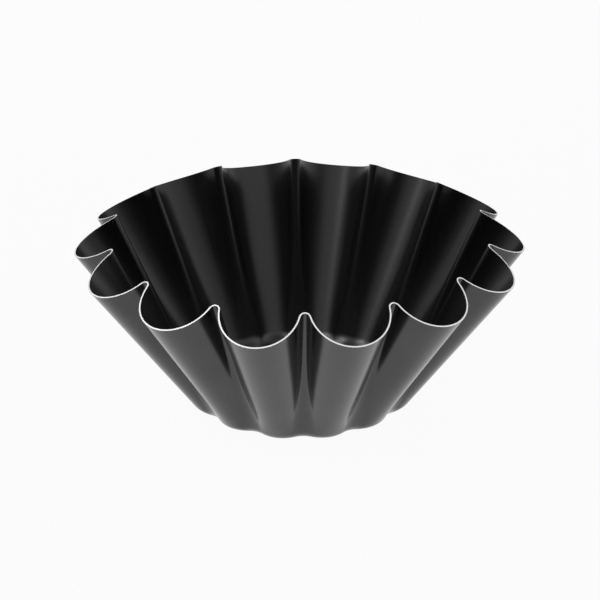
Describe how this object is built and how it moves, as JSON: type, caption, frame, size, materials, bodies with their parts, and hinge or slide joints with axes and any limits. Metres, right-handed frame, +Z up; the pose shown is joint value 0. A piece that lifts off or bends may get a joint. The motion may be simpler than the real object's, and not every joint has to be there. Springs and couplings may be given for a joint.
{
  "type": "fluted mould",
  "caption": "Flared, deeply fluted mould pressed from coated steel sheet, with a flat floor and a scalloped, bare-edged rim, for setting halva or baking brioche and cake.",
  "frame": {"origin": "middle of the underside, on the surface that the mould stands on", "axes": "+Z up along the mould's axis, out of its mouth; -Y towards a valley, the inward fold between two flutes; +X towards the tip of a flute"},
  "size_m": [0.2206, 0.2156, 0.0877],
  "materials": {
    "bare_steel": "bright sheared edge",
    "inner_release_coat": "satin, near black",
    "outer_release_coat": "satin, dark grey"
  },
  "bodies": {
    "root": {"steel_shell": "bare_steel", "inner_coating": "inner_release_coat", "outer_coating": "outer_release_coat"}
  },
  "joints": []
}
